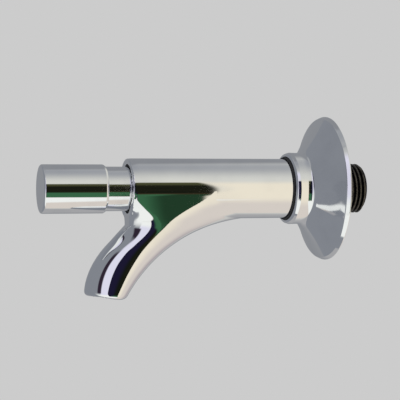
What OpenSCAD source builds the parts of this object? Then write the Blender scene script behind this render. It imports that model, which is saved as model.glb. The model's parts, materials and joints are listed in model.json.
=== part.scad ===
// Push timed tap: a wall-mounted self-closing tap with a long push button and a cast spout.
// Millimetres. The wall face is y = 0, the tap stands out along -y and z is up.

/* [Inlet nipple] */
// Outside diameter of the pipe thread behind the wall
inlet_thread_d = 20.955; // [20:0.005:22]
// Pitch of the pipe thread
inlet_pitch = 1.814; // [1.5:0.001:2.1]
// Depth of the pipe thread
inlet_thread_depth = 1.162; // [0.8:0.001:1.3]
// Thread standing behind the wall face
tail_len = 16.1; // [12:0.1:24]
// Wall face to the back of the spanner hexagon
hex_from_wall = 4.5; // [3.5:0.1:5.5]
// Hexagon across flats
nipple_hex_af = 21; // [20.5:0.1:22]
// Hexagon thickness
nipple_hex_len = 3; // [2.5:0.1:4]
// Water bore of the nipple
inlet_bore_d = 13; // [11:0.1:13.4]
// Outside diameter of the thread that enters the body
joint_thread_d = 19; // [18.6:0.1:19.6]
// Length of the thread that enters the body
joint_thread_len = 10; // [9:0.1:11.5]
// Thickness of the fibre washer behind the body
gasket_t = 1; // [0.6:0.1:1.6]
// Depth of the pocket for the flow regulator
regulator_pocket = 6; // [5.5:0.1:7]
// Diameter of the pocket for the flow regulator
regulator_pocket_d = 15.2; // [14.8:0.1:15.6]

/* [Strainer and regulator] */
// Thickness of the strainer washer
strainer_washer_t = 2; // [1.6:0.1:2.6]
// Clear opening of the strainer washer
strainer_open_d = 12.4; // [11.6:0.1:13]
// Thickness of the strainer screen
screen_t = 0.5; // [0.4:0.05:0.7]
// Diameter of each screen hole
screen_hole_d = 1.1; // [0.8:0.05:1.2]
// Spacing of the screen holes
screen_step = 1.55; // [1.5:0.05:1.7]
// Height of the flow regulator
regulator_len = 5; // [4.4:0.1:5.4]
// Section of the elastic regulating ring
regulator_ring_t = 2.2; // [1.8:0.1:2.4]

/* [Body] */
// Outside diameter of the barrel
barrel_d = 25; // [24.4:0.1:27]
// Wall face to the front face of the barrel
body_front = 87; // [85:0.5:100]
// Rounding of the front rim
rim_round = 1; // [0.4:0.1:1.6]
// Diameter of the valve chamber behind the seat
chamber_d = 15.2; // [14.8:0.1:15.8]
// Diameter of the outlet chamber around the cartridge
main_bore_d = 18.6; // [18:0.1:19.4]
// Length of the plain bore that takes the seat end of the cartridge
seat_bore_len = 8; // [7:0.1:9]

/* [Spout] */
// Outside diameter of the outlet
outlet_d = 17; // [16.6:0.1:19]
// Outlet centre in front of the barrel's front face
outlet_forward = 9.3; // [7:0.1:12]
// Outlet centre below the axis
outlet_drop = 44.4; // [42:0.1:48]
// Tilt of the outlet lip, front side up
lip_tilt = 7; // [3:0.5:11]
// Radius of the long curve under the spout
under_r = 63.7; // [58:0.1:72]
// Start of the spout's front curve behind the front face
rail_back = 33.1; // [31:0.1:35]
// Start of the spout's front curve above the axis
rail_rise = 5.3; // [4:0.1:6.5]
// Bend of the front curve behind the front face
bend_back = 21.7; // [20:0.1:23.5]
// Bend of the front curve below the axis
bend_drop = 2.1; // [1:0.1:3.5]
// Length over which the front curve falls straight to the lip
nose_len = 24.4; // [22:0.1:26]
// Diameter of the spout's water passage
passage_d = 9.6; // [8:0.1:10]
// Bend radius of the water passage
passage_bend_r = 25; // [24:0.5:27]
// Lean of the outlet bore from plumb
outlet_lean = 13; // [11:0.5:15]
// Diameter of the open outlet bore
mouth_d = 13.5; // [13:0.1:14]
// Depth of the open outlet bore
mouth_len = 5; // [4:0.1:5.5]
// Diameter of the seat for the jet straightener
straightener_d = 12; // [11:0.1:12.4]
// Height of the jet straightener
straightener_len = 4; // [3:0.1:4.5]
// Thickness of the straightener's blades
blade_t = 0.8; // [0.6:0.05:1]

/* [Wall flange] */
// Outside diameter of the flange
flange_d = 61; // [56:0.5:68]
// Straight edge of the flange against the wall
flange_edge = 1.2; // [0.8:0.1:2]
// Height of the flange's cone
cone_top = 11.1; // [10:0.1:12.5]
// Sag of the cone, which is slightly hollow
cone_sag = 0.8; // [0:0.1:1.4]
// Whole depth of the flange
flange_depth = 17.9; // [17.1:0.1:20.3]
// Wall of the flange
flange_wall = 1.3; // [1:0.05:1.6]
// Radial thickness of the rubber ring inside the collar
flange_ring_t = 1.3; // [1:0.05:1.6]
// Length of the rubber ring
flange_ring_len = 2.4; // [2:0.1:3]

/* [Head and button] */
// Outside diameter of the thread that holds the head
head_thread_d = 20; // [19.4:0.1:20.6]
// Depth of the head's thread in the body
head_depth = 9; // [8:0.1:9.5]
// Depth of the groove round the neck at the front face
neck_groove = 2; // [1.4:0.1:2.4]
// Bore of the neck, which holds the return spring
neck_bore_d = 14.4; // [13.8:0.1:15]
// Depth of the socket that holds the cartridge
socket_len = 5.5; // [5:0.1:6]
// Thickness of the wall that carries the spindle seals
web_t = 6.5; // [6.2:0.1:7.5]
// Neck in front of the body, most of it under the button
neck_len = 23; // [21:0.5:25]
// Neck left showing behind the button
neck_show = 9.4; // [8.6:0.1:12]
// Outside diameter of the button
button_d = 20; // [19.6:0.1:21]
// Length of the button
button_len = 26.4; // [25.4:0.1:30]
// Wall of the button
button_wall = 0.84; // [0.7:0.02:1]
// Thickness of the button's face
button_face_t = 2.5; // [2:0.1:3]
// Rounding of the button's front edge
button_round = 0.9; // [0.4:0.1:1.4]
// Stroke of the button
stroke = 7.5; // [5:0.1:8]
// Wire of the return spring
spring_wire = 1.3; // [1:0.05:1.4]
// Turns of the return spring
spring_turns = 8.5; // [6:0.5:9]

/* [Cartridge] */
// Spindle diameter
spindle_d = 5; // [4.6:0.1:5.4]
// Spindle diameter through the valve
spindle_end_d = 4; // [3.6:0.1:4.2]
// Bore of the timing cylinder
cylinder_d = 11.6; // [11.2:0.1:12]
// Wall of the timing cylinder
cylinder_wall = 1.4; // [1.2:0.1:1.5]
// Diameter of the cartridge's front flange
cartridge_flange_d = 16; // [15.7:0.1:16.4]
// Diameter of the cartridge's seat collar
cartridge_collar_d = 16.4; // [16.2:0.1:16.8]
// Length of the cartridge
cartridge_len = 43.5; // [42:0.1:45]
// Length of the cage windows
window_len = 10; // [7:0.1:11]
// Width of the cage windows
window_w = 6; // [4:0.1:7]
// Waterway through the valve seat
seat_d = 8.8; // [8:0.1:9.4]
// Length of the timing piston
piston_len = 6; // [5:0.1:6.5]
// Diameter of the timing bleed through the piston
bleed_d = 0.6; // [0.4:0.05:0.8]
// Thickness of the valve washer
valve_washer_t = 2.5; // [2:0.1:3]
// Diameter of the valve washer
valve_washer_d = 12; // [11:0.1:12.4]
// Section of the seals round the spindle
gland_ring_t = 1.5; // [1.3:0.05:1.55]

/* [Clearances] */
// Radial gap of parts that are assembled once
fit_gap = 0.05; // [0.03:0.01:0.08]
// Radial gap of parts that slide in use
run_gap = 0.06; // [0.03:0.01:0.08]
// Radial gap at sliding seals
seal_gap = 0.03; // [0.02:0.01:0.05]
// Gap left between faces that close in use
face_gap = 0.02; // [0.01:0.01:0.05]

/* [Hidden] */
$fn = 96;
eps = 0.5;

// Radii
barrel_r = barrel_d / 2;
outlet_r = outlet_d / 2;
button_r = button_d / 2;
spindle_r = spindle_d / 2;
cylinder_r = cylinder_d / 2;
neck_r = button_r - button_wall - run_gap;
neck_bore_r = neck_bore_d / 2;
head_thread_r = head_thread_d / 2;
inlet_root_r = inlet_thread_d / 2 - inlet_thread_depth;
collar_bore_r = cartridge_collar_d / 2 + fit_gap;
cartridge_r = cylinder_r + cylinder_wall;

// Places along the axis, counted out from the wall
body_back = hex_from_wall + nipple_hex_len + gasket_t;
nipple_front = body_back + joint_thread_len;
pocket_back = nipple_front - regulator_pocket;
socket_end = nipple_front + strainer_washer_t;
head_back = body_front - head_depth;
web_back = head_back + socket_len;
web_front = web_back + web_t;
neck_front = body_front + neck_len;
seat_step = web_back - cartridge_len;
main_back = seat_step + seat_bore_len;
button_back = body_front + neck_show;
button_front = button_back + button_len;
button_inside = button_front - button_face_t;

// Joint threads are fine metric ones
fine_pitch = 1;
fine_depth = 0.6;

// Spout curves, each point as [out from the wall, height]
outlet_u = body_front + outlet_forward;
lip_back = [outlet_u - outlet_r * cos(lip_tilt), -outlet_drop - outlet_r * sin(lip_tilt)];
lip_front = [outlet_u + outlet_r * cos(lip_tilt), -outlet_drop + outlet_r * sin(lip_tilt)];
under_drop = -barrel_r - lip_back[1];
under_run = sqrt(2 * under_r * under_drop - under_drop * under_drop);
under_start = lip_back[0] - under_run;
under_end = asin(under_run / under_r);
spout_root = barrel_r - 1.1;
spout_rings = 24;
spout_sides = 30;
spout_first = 0.05;
spout_sink = 0.5;

// Water passage: a straight outlet, one bend and a straight run into the outlet chamber
seat_up = mouth_len + straightener_len + 0.5;
bend_from = [outlet_u - seat_up * sin(outlet_lean), -outlet_drop + seat_up * cos(outlet_lean)];
bend_centre = bend_from - passage_bend_r * [cos(outlet_lean), sin(outlet_lean)];
entry = [head_back - 16.3, -main_bore_d / 2 - 0.5];
entry_off = entry - bend_centre;
entry_far = norm(entry_off);
entry_turn = atan2(entry_off[1], entry_off[0]);
bend_to = entry_turn - acos(passage_bend_r / entry_far);
run_len = sqrt(entry_far * entry_far - passage_bend_r * passage_bend_r);

// Flange section
ring_in_r = barrel_r + fit_gap;
ring_out_r = ring_in_r + flange_ring_t;
groove_r = ring_out_r + fit_gap;
collar_r = groove_r + flange_wall;
mouth_r = barrel_r + 0.9;
ring_front = flange_depth - 1.4;
ring_back = ring_front - flange_ring_len;
flange_r = flange_d / 2;

// Cartridge
lip_up = 0.6;
collar_len = 6;
flange_len = 5;
seat_ring_t = 1.2;
flange_ring_sec = 1;
piston_front = web_back - 3;
piston_back = piston_front - piston_len;
clip_t = 0.6;
clip_in_r = spindle_r - 0.4;
clip_out_r = spindle_r + 1.7;
seat_face = seat_step - lip_up;
valve_front = seat_face - face_gap;
valve_back = valve_front - valve_washer_t;
carrier_t = 3;
carrier_back = valve_back - carrier_t;
valve_nut_t = 2.8;
spindle_back = carrier_back - valve_nut_t - 0.6;
boss_back = button_inside - 7.3;
boss_r = spindle_r + 1.9;
spindle_front = button_inside - 1.2;
lock_nut_t = 2.5;
lock_nut_af = 8;
bush_flange_t = 1;
bush_r = spindle_r + 1;
bush_len = 2;
piston_gap = 0.1;
piston_groove_from = 3.2;
piston_groove_len = 2.2;
piston_groove_depth = 1.1;
seal_lip = 0.2;
seal_heel = 0.9;
clip_slot = 2.8;
collar_groove_from = 2.2;
flange_groove_from = 3.4;
gland_land = 0.8;
ring_slack = 0.1;
gasket_in = 1.1;
regulator_base = 1.4;
regulator_wall = 1.2;
regulator_post_r = 2;
regulator_hole_d = 1.8;
regulator_hole_r = 4.4;
screen_edge = 1;
spanner_slot_w = 2.4;
spanner_slot_len = 3;
edge = 0.4;
spring_back = web_front + bush_flange_t;
spring_r = neck_bore_r - 0.35 - spring_wire / 2;

// Stands its children out of the wall: their z runs out from the wall and their y is up
module out_of_wall() {
    rotate([90, 0, 0]) children();
}

// Turns a flat drawing of [distance out, height] into the tap's middle plane
module side_plane() {
    rotate([0, -90, 0]) children();
}

// A solid turned from points of [radius, distance out]
module turned(points) {
    out_of_wall() rotate_extrude() polygon(points);
}

// A ring of round section
module o_ring(inner_r, section, at) {
    out_of_wall() translate([0, 0, at])
        rotate_extrude() translate([inner_r + section / 2, 0]) circle(d = section);
}

// A plain washer
module washer(inner_r, outer_r, from, to) {
    turned([[inner_r, from], [outer_r, from], [outer_r, to], [inner_r, to]]);
}

// A bore or a peg on the axis
module rod(r, from, to) {
    out_of_wall() translate([0, 0, from]) cylinder(r = r, h = to - from);
}

// A hexagon on the axis
module hexagon(af, from, to) {
    out_of_wall() translate([0, 0, from]) cylinder(d = af / cos(30), h = to - from, $fn = 6);
}

// Points of thread ridges: root, flank, crest, flank
function ridges(r, depth, pitch, from, count) = [
    for (i = [0 : count - 1])
        for (k = [[1, 0], [1, 0.1], [0, 0.4], [0, 0.6], [1, 0.9]])
            [r - depth * k[0], from + pitch * (i + k[1])]
];

// Points of a quarter round from the side of a cylinder to its front face
function front_round(r, at, round, steps) = [
    for (i = [0 : steps])
        [r - round + round * cos(90 * i / steps), at - round + round * sin(90 * i / steps)]
];

// Underside of the spout; its first stretch is sunk a little into the barrel
function under(t) = [
    under_start + under_r * sin(under_end * t),
    -barrel_r - under_r * (1 - cos(under_end * t)) + spout_sink * pow(max(0, 1 - t / 0.25), 2)
];

// Front of the spout, from inside the barrel to the lip
function front(t) =
    pow(1 - t, 3) * [body_front - rail_back, rail_rise]
    + 3 * pow(1 - t, 2) * t * [body_front - bend_back, -bend_drop]
    + 3 * (1 - t) * t * t * (lip_front + [0, nose_len])
    + t * t * t * lip_front;

// Half width of the spout across the tap
function half_width(t) =
    outlet_r + (spout_root - outlet_r) * (1 - t * t * t) - 2.3 * pow(max(0, 1 - t / 0.35), 2);

// How full the shoulders of the spout are: they run up flush into the sides of the barrel
function fullness(t, a) = 1 - 0.6 * max(0, cos(a)) * min(1, max(0, (0.72 - t) / 0.3));

// One point of the spout's skin
function skin(t, a) =
    let (mid = (under(t) + front(t)) / 2, arm = (front(t) - under(t)) / 2)
    let (across = sign(sin(a)) * pow(abs(sin(a)), fullness(t, a)))
    [half_width(t) * across, mid[1] + arm[1] * cos(a), mid[0] + arm[0] * cos(a)];

// Closed skin carried along the spout
module spout_skin() {
    points = [
        for (i = [0 : spout_rings])
            for (j = [0 : spout_sides - 1])
                skin(spout_first + (1 - spout_first) * i / spout_rings, 360 * j / spout_sides)
    ];
    last = spout_rings * spout_sides;
    sides = [
        for (i = [0 : spout_rings - 1])
            for (j = [0 : spout_sides - 1])
                let (a = i * spout_sides + j, b = i * spout_sides + (j + 1) % spout_sides)
                each [[a, b, b + spout_sides], [a, b + spout_sides, a + spout_sides]]
    ];
    back = [for (j = [spout_sides - 1 : -1 : 0]) j];
    mouth = [for (j = [0 : spout_sides - 1]) last + j];
    out_of_wall() polyhedron(points, concat([back], [mouth], sides));
}

// A straight bore in the middle plane, from a point in a given direction
module side_bore(from, angle, r, len) {
    out_of_wall() side_plane() translate([from[0], from[1], 0])
        rotate([0, 0, angle]) rotate([0, 90, 0]) cylinder(r = r, h = len);
}

// Cast and chromed body: the barrel with its spout in one piece
module tap_body() {
    up = 90 + outlet_lean;
    color("silver") difference() {
        union() {
            turned(concat(
                [[0, body_back], [barrel_r - 0.6, body_back], [barrel_r, body_back + 0.6]],
                front_round(barrel_r, body_front, rim_round, 6),
                [[0, body_front]]
            ));
            spout_skin();
        }
        rod(joint_thread_d / 2 + fit_gap, body_back - eps, socket_end);
        rod(chamber_d / 2, socket_end - eps, seat_step + eps);
        rod(collar_bore_r, seat_step, main_back + eps);
        rod(main_bore_d / 2, main_back, head_back + eps);
        rod(head_thread_r + fit_gap, head_back, body_front + eps);
        side_bore([outlet_u, -outlet_drop] - 3 * [cos(up), sin(up)], up, mouth_d / 2, mouth_len + 3);
        side_bore([outlet_u, -outlet_drop], up, straightener_d / 2 + fit_gap, seat_up);
        out_of_wall() side_plane() translate([bend_centre[0], bend_centre[1], 0])
            rotate([0, 0, outlet_lean]) rotate_extrude(angle = bend_to - outlet_lean)
                translate([passage_bend_r, 0]) circle(d = passage_d);
        side_bore(entry, bend_to - 90, passage_d / 2, run_len);
    }
}

// Brass nipple: pipe thread to the wall, hexagon, fine thread into the body
module inlet_nipple() {
    tail_from = -tail_len + 0.8;
    tail_count = floor((hex_from_wall - 1 - tail_from) / inlet_pitch);
    joint_from = hex_from_wall + nipple_hex_len + gasket_t + 1;
    joint_count = floor((nipple_front - 0.3 - joint_from) / fine_pitch);
    joint_r = joint_thread_d / 2;
    color("darkgoldenrod") difference() {
        union() {
            turned(concat(
                [[0, -tail_len], [inlet_root_r - 0.4, -tail_len]],
                ridges(inlet_thread_d / 2, inlet_thread_depth, inlet_pitch, tail_from, tail_count),
                [[inlet_root_r, hex_from_wall + eps], [joint_r - fine_depth, hex_from_wall + eps]],
                ridges(joint_r, fine_depth, fine_pitch, joint_from, joint_count),
                [[joint_r - fine_depth - 0.2, nipple_front], [0, nipple_front]]
            ));
            hexagon(nipple_hex_af, hex_from_wall, hex_from_wall + nipple_hex_len);
        }
        rod(inlet_bore_d / 2, -tail_len - eps, pocket_back + eps);
        rod(regulator_pocket_d / 2, pocket_back, nipple_front + eps);
    }
}

// Fibre washer between the hexagon and the body
module nipple_gasket() {
    color("firebrick")
        washer(joint_thread_d / 2 + ring_slack, barrel_r - gasket_in, body_back - gasket_t, body_back);
}

// Rubber washer that carries the strainer in a slot
module strainer_washer() {
    open_r = strainer_open_d / 2;
    slot_r = open_r + screen_edge + fit_gap;
    slot_back = nipple_front + (strainer_washer_t - screen_t) / 2 - fit_gap;
    slot_front = slot_back + screen_t + 2 * fit_gap;
    outer_r = joint_thread_d / 2 - 2 * ring_slack;
    color("dimgray") turned([
        [open_r, nipple_front], [outer_r, nipple_front], [outer_r, socket_end], [open_r, socket_end],
        [open_r, slot_front], [slot_r, slot_front], [slot_r, slot_back], [open_r, slot_back]
    ]);
}

// Pierced steel strainer
module strainer_screen() {
    screen_r = strainer_open_d / 2 + screen_edge;
    from = nipple_front + (strainer_washer_t - screen_t) / 2;
    color("lightsteelblue") difference() {
        rod(screen_r, from, from + screen_t);
        out_of_wall() translate([0, 0, from - eps])
            for (i = [-4 : 4])
                for (j = [-4 : 4])
                    let (x = screen_step * (i + j / 2), y = screen_step * j * sin(60))
                    if (norm([x, y]) < strainer_open_d / 2 - screen_hole_d)
                        translate([x, y, 0]) cylinder(d = screen_hole_d, h = screen_t + 2 * eps);
    }
}

// Flow regulator: a cup with a post and a ring of holes under the elastic ring
module flow_regulator() {
    outer_r = regulator_pocket_d / 2 - fit_gap;
    inner_r = outer_r - regulator_wall;
    base = pocket_back + regulator_base;
    top = pocket_back + regulator_len;
    post_top = top - edge;
    color("seagreen") difference() {
        turned([
            [0, pocket_back], [outer_r, pocket_back], [outer_r, top], [inner_r, top], [inner_r, base],
            [regulator_post_r, base], [regulator_post_r, post_top], [0, post_top]
        ]);
        out_of_wall() for (i = [0 : 7])
            rotate([0, 0, 45 * i]) translate([regulator_hole_r, 0, pocket_back - eps])
                cylinder(d = regulator_hole_d, h = regulator_base + 2 * eps);
    }
}

// Elastic ring that narrows the regulator's holes as the pressure rises
module regulator_ring() {
    at = pocket_back + regulator_base + fit_gap + regulator_ring_t / 2;
    color("dimgray") o_ring(regulator_post_r + ring_slack, regulator_ring_t, at);
}

// Chromed head: thread, spindle wall and the neck that guides the button
module head_sleeve() {
    thread_from = head_back + 0.4;
    thread_to = body_front - neck_groove;
    thread_count = floor((thread_to - thread_from) / fine_pitch);
    thread_end = thread_from + thread_count * fine_pitch;
    root_r = min(head_thread_r - fine_depth, neck_r + 0.3);
    depth = head_thread_r - root_r;
    socket_r = cartridge_flange_d / 2 + fit_gap;
    gland_r = spindle_r + seal_gap + gland_ring_t + seal_gap;
    gland_from = web_back + gland_land;
    gland_to = gland_from + 2 * (gland_ring_t + ring_slack);
    color("gainsboro") difference() {
        turned(concat(
            [[socket_r, head_back], [root_r - 0.1, head_back]],
            ridges(head_thread_r, depth, fine_pitch, thread_from, thread_count),
            [[root_r, thread_end], [neck_r, thread_end + 0.1]],
            [[neck_r, neck_front - 0.6], [neck_r - 0.6, neck_front], [neck_bore_r, neck_front]],
            [[neck_bore_r, web_front], [bush_r + fit_gap, web_front]],
            [[bush_r + fit_gap, web_front - bush_len], [spindle_r + run_gap, web_front - bush_len]],
            [[spindle_r + run_gap, gland_to], [gland_r, gland_to], [gland_r, gland_from]],
            [[spindle_r + run_gap, gland_from], [spindle_r + run_gap, web_back], [socket_r, web_back]]
        ));
        out_of_wall() for (side = [0, 180])
            rotate([0, 0, side])
                translate([-spanner_slot_w / 2, neck_bore_r - 1, neck_front - spanner_slot_len])
                    cube([spanner_slot_w, button_r, spanner_slot_len + eps]);
    }
}

// Seal in the groove round the neck at the front face
module head_o_ring() {
    section = head_thread_r - neck_r - fit_gap;
    color("dimgray") o_ring(neck_r + fit_gap, section, body_front - neck_groove + 0.35 + section / 2);
}

// Two seals round the spindle
module gland_o_rings() {
    step = gland_ring_t + ring_slack;
    color("dimgray") for (i = [0, 1])
        o_ring(spindle_r + seal_gap, gland_ring_t, web_back + gland_land + step * (i + 0.5));
}

// Flanged bush that guides the spindle and carries the spring
module spindle_bush() {
    color("ivory") turned([
        [spindle_r + run_gap, web_front - bush_len], [bush_r, web_front - bush_len], [bush_r, web_front],
        [neck_bore_r - 0.3, web_front], [neck_bore_r - 0.3, spring_back],
        [spindle_r + run_gap, spring_back]
    ]);
}

// Plastic cartridge: seat, windowed cage and timing cylinder
module cartridge_barrel() {
    flange_r = cartridge_flange_d / 2;
    flange_back = web_back - flange_len;
    groove_f = web_back - flange_groove_from;
    collar_r = cartridge_collar_d / 2;
    collar_to = seat_step + collar_len;
    groove_s = seat_step + collar_groove_from;
    seat_r = seat_d / 2;
    color("whitesmoke") difference() {
        turned([
            [seat_r, seat_face], [seat_r + 0.9, seat_face], [seat_r + 0.9, seat_step], [collar_r, seat_step],
            [collar_r, groove_s], [collar_r - seat_ring_t, groove_s],
            [collar_r - seat_ring_t, groove_s + seat_ring_t + ring_slack],
            [collar_r, groove_s + seat_ring_t + ring_slack],
            [collar_r, collar_to], [cartridge_r, collar_to], [cartridge_r, flange_back],
            [flange_r, flange_back], [flange_r, groove_f], [flange_r - flange_ring_sec, groove_f],
            [flange_r - flange_ring_sec, groove_f + flange_ring_sec + ring_slack],
            [flange_r, groove_f + flange_ring_sec + ring_slack], [flange_r, web_back], [cylinder_r, web_back],
            [cylinder_r, collar_to], [seat_r, collar_to - 1]
        ]);
        out_of_wall() for (i = [0 : 3])
            rotate([0, 0, 45 + 90 * i]) translate([cylinder_r - 2, -window_w / 2, collar_to + 1.5])
                cube([6, window_w, window_len]);
    }
}

// Seal between the cartridge and the head
module flange_o_ring() {
    inner_r = cartridge_flange_d / 2 - flange_ring_sec + seal_gap;
    at = web_back - flange_groove_from + (flange_ring_sec + ring_slack) / 2;
    color("dimgray") o_ring(inner_r, flange_ring_sec, at);
}

// Seal between the seat end of the cartridge and the body
module seat_o_ring() {
    inner_r = cartridge_collar_d / 2 - seat_ring_t + seal_gap;
    at = seat_step + collar_groove_from + (seat_ring_t + ring_slack) / 2;
    color("dimgray") o_ring(inner_r, seat_ring_t, at);
}

// Return spring between the bush and the inside of the button
module return_spring() {
    from = spring_back + spring_wire / 2;
    rise = button_inside - spring_back - spring_wire;
    around = 16;
    sides = 8;
    rings = round(spring_turns * around);
    points = [
        for (i = [0 : rings])
            for (j = [0 : sides - 1])
                let (turn = 360 * spring_turns * i / rings, a = 360 * j / sides, half = spring_wire / 2)
                let (r = spring_r + half * cos(a))
                [r * cos(turn), r * sin(turn), from + rise * i / rings + half * sin(a)]
    ];
    walls = [
        for (i = [0 : rings - 1])
            for (j = [0 : sides - 1])
                let (a = i * sides + j, b = i * sides + (j + 1) % sides)
                each [[a, b + sides, b], [a, a + sides, b + sides]]
    ];
    start = [for (j = [0 : sides - 1]) j];
    end = [for (j = [sides - 1 : -1 : 0]) rings * sides + j];
    color("slategray") out_of_wall() polyhedron(points, concat([start], [end], walls));
}

// Jet straightener seated up inside the spout
module jet_straightener() {
    r = straightener_d / 2;
    up = 90 + outlet_lean;
    from = [outlet_u, -outlet_drop] + (mouth_len + 0.2) * [cos(up), sin(up)];
    color("whitesmoke") out_of_wall() side_plane() translate([from[0], from[1], 0])
        rotate([0, 0, up]) rotate([0, 90, 0]) {
            difference() {
                cylinder(r = r, h = straightener_len);
                translate([0, 0, -eps]) cylinder(r = r - 1, h = straightener_len + 2 * eps);
            }
            for (i = [0 : 2])
                rotate([0, 0, 60 * i]) translate([0.5 - r, -blade_t / 2, 0.4])
                    cube([2 * r - 1, blade_t, straightener_len - 0.8]);
        }
}

// Pressed and chromed flange that covers the hole in the wall
module wall_flange() {
    cone_from = [flange_r - 0.7, flange_edge + 0.8];
    cone_to = [collar_r, cone_top];
    bend = (cone_from + cone_to) / 2 - 2 * cone_sag * [0.6, 0.8];
    steps = 10;
    outside = [
        for (i = [0 : steps])
            let (t = i / steps)
            (1 - t) * (1 - t) * cone_from + 2 * t * (1 - t) * bend + t * t * cone_to
    ];
    inside = [
        for (i = [steps : -1 : 0])
            let (t = i / steps)
            (1 - t) * (1 - t) * (cone_from - flange_wall * [0.6, 0.8]) + 2 * t * (1 - t)
            * (bend - flange_wall * [0.6, 0.8]) + t * t * [groove_r - 0.3, cone_top - flange_wall]
    ];
    color("silver") turned(concat(
        [[flange_r - flange_wall, 0], [flange_r, 0], [flange_r, flange_edge]],
        [[flange_r - 0.2, flange_edge + 0.5]],
        outside,
        [[collar_r, flange_depth - 3], [collar_r - 0.4, flange_depth - 1.5]],
        [[collar_r - 1, flange_depth - 0.5], [mouth_r + 0.2, flange_depth], [mouth_r, flange_depth - 0.2]],
        [[mouth_r, ring_front + fit_gap], [groove_r, ring_front + fit_gap], [groove_r, ring_back - fit_gap]],
        [[groove_r - 0.3, ring_back - fit_gap]],
        inside
    ));
}

// Rubber ring that grips the barrel and holds the flange in place
module flange_ring() {
    color("dimgray") washer(ring_in_r, ring_out_r, ring_back, ring_front);
}

// Push button: a chromed cup that slides over the neck
module push_button() {
    bore_r = button_r - button_wall;
    color("silver") turned(concat(
        [[bore_r, button_back], [button_r - 0.5, button_back], [button_r, button_back + 0.8]],
        front_round(button_r, button_front, button_round, 6),
        [[0, button_front], [0, spindle_front + fit_gap], [spindle_r + fit_gap, spindle_front + fit_gap]],
        [[spindle_r + fit_gap, boss_back], [boss_r, boss_back], [boss_r, button_inside]],
        [[bore_r, button_inside]]
    ));
}

// Nut that locks the button on the spindle
module button_lock_nut() {
    color("goldenrod") difference() {
        hexagon(lock_nut_af, boss_back - lock_nut_t, boss_back);
        rod(spindle_r + fit_gap, boss_back - lock_nut_t - eps, boss_back + eps);
    }
}

// Steel spindle with clip grooves and a shoulder for the valve
module spindle() {
    end_r = spindle_end_d / 2;
    slot_r = clip_in_r - fit_gap;
    slot_len = clip_t + ring_slack;
    clip_a = piston_back - slot_len;
    clip_b = piston_front;
    color("lightsteelblue") turned([
        [0, spindle_back], [end_r - edge, spindle_back], [end_r, spindle_back + edge], [end_r, valve_back],
        [spindle_r, valve_back], [spindle_r, clip_a], [slot_r, clip_a],
        [slot_r, clip_a + slot_len], [spindle_r, clip_a + slot_len],
        [spindle_r, clip_b], [slot_r, clip_b], [slot_r, clip_b + slot_len],
        [spindle_r, clip_b + slot_len], [spindle_r, spindle_front - edge],
        [spindle_r - edge, spindle_front], [0, spindle_front]
    ]);
}

// Timing piston with its seal groove and the fine bleed that sets the closing time
module timing_piston() {
    r = cylinder_r - piston_gap;
    groove_r = r - piston_groove_depth;
    groove_from = piston_front - piston_groove_from;
    groove_to = groove_from + piston_groove_len;
    color("steelblue") difference() {
        turned([
            [spindle_r + fit_gap, piston_back], [r, piston_back], [r, groove_from], [groove_r, groove_from],
            [groove_r, groove_to], [r, groove_to], [r, piston_front], [spindle_r + fit_gap, piston_front]
        ]);
        out_of_wall() translate([(spindle_r + groove_r) / 2, 0, piston_back - eps])
            cylinder(d = bleed_d, h = piston_len + 2 * eps);
    }
}

// Lip seal: open towards the timing chamber
module piston_seal() {
    inner_r = cylinder_r - piston_gap - piston_groove_depth + seal_gap;
    outer_r = cylinder_r - seal_gap;
    from = piston_front - piston_groove_from + ring_slack / 2;
    to = from + piston_groove_len - ring_slack;
    mid = (inner_r + outer_r) / 2;
    color("dimgray") turned([
        [inner_r, from], [outer_r - seal_lip, from], [outer_r, to], [outer_r - seal_lip, to],
        [mid, from + seal_heel], [inner_r + seal_lip, to], [inner_r, to]
    ]);
}

// Two open clips that hold the piston on the spindle
module piston_clips() {
    gap = ring_slack / 2;
    color("lightsteelblue") for (from = [piston_back - clip_t - gap, piston_front + gap])
        difference() {
            washer(clip_in_r, clip_out_r, from, from + clip_t);
            out_of_wall() translate([-clip_slot / 2, 0, from - eps])
                cube([clip_slot, clip_out_r + eps, clip_t + 2 * eps]);
        }
}

// Brass cup that carries the valve washer
module valve_carrier() {
    bore_r = spindle_end_d / 2 + fit_gap;
    inner_r = valve_washer_d / 2 + fit_gap;
    color("goldenrod") turned([
        [bore_r, carrier_back], [inner_r - 0.4, carrier_back], [inner_r + 0.6, carrier_back + 1],
        [inner_r + 0.6, valve_back + 1.4], [inner_r, valve_back + 1.4], [inner_r, valve_back],
        [bore_r, valve_back]
    ]);
}

// Rubber washer that closes on the seat from the supply side
module valve_washer() {
    color("dimgray") washer(spindle_r + fit_gap, valve_washer_d / 2, valve_back, valve_front);
}

// Nut that holds the valve on the spindle
module valve_nut() {
    color("goldenrod") difference() {
        hexagon(spindle_end_d + 3, carrier_back - valve_nut_t, carrier_back);
        rod(spindle_end_d / 2 + fit_gap, carrier_back - valve_nut_t - eps, carrier_back + eps);
    }
}

tap_body();
inlet_nipple();
nipple_gasket();
strainer_washer();
strainer_screen();
flow_regulator();
regulator_ring();
head_sleeve();
head_o_ring();
gland_o_rings();
spindle_bush();
cartridge_barrel();
flange_o_ring();
seat_o_ring();
return_spring();
jet_straightener();
wall_flange();
flange_ring();
push_button();
button_lock_nut();
spindle();
timing_piston();
piston_seal();
piston_clips();
valve_carrier();
valve_washer();
valve_nut();
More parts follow.
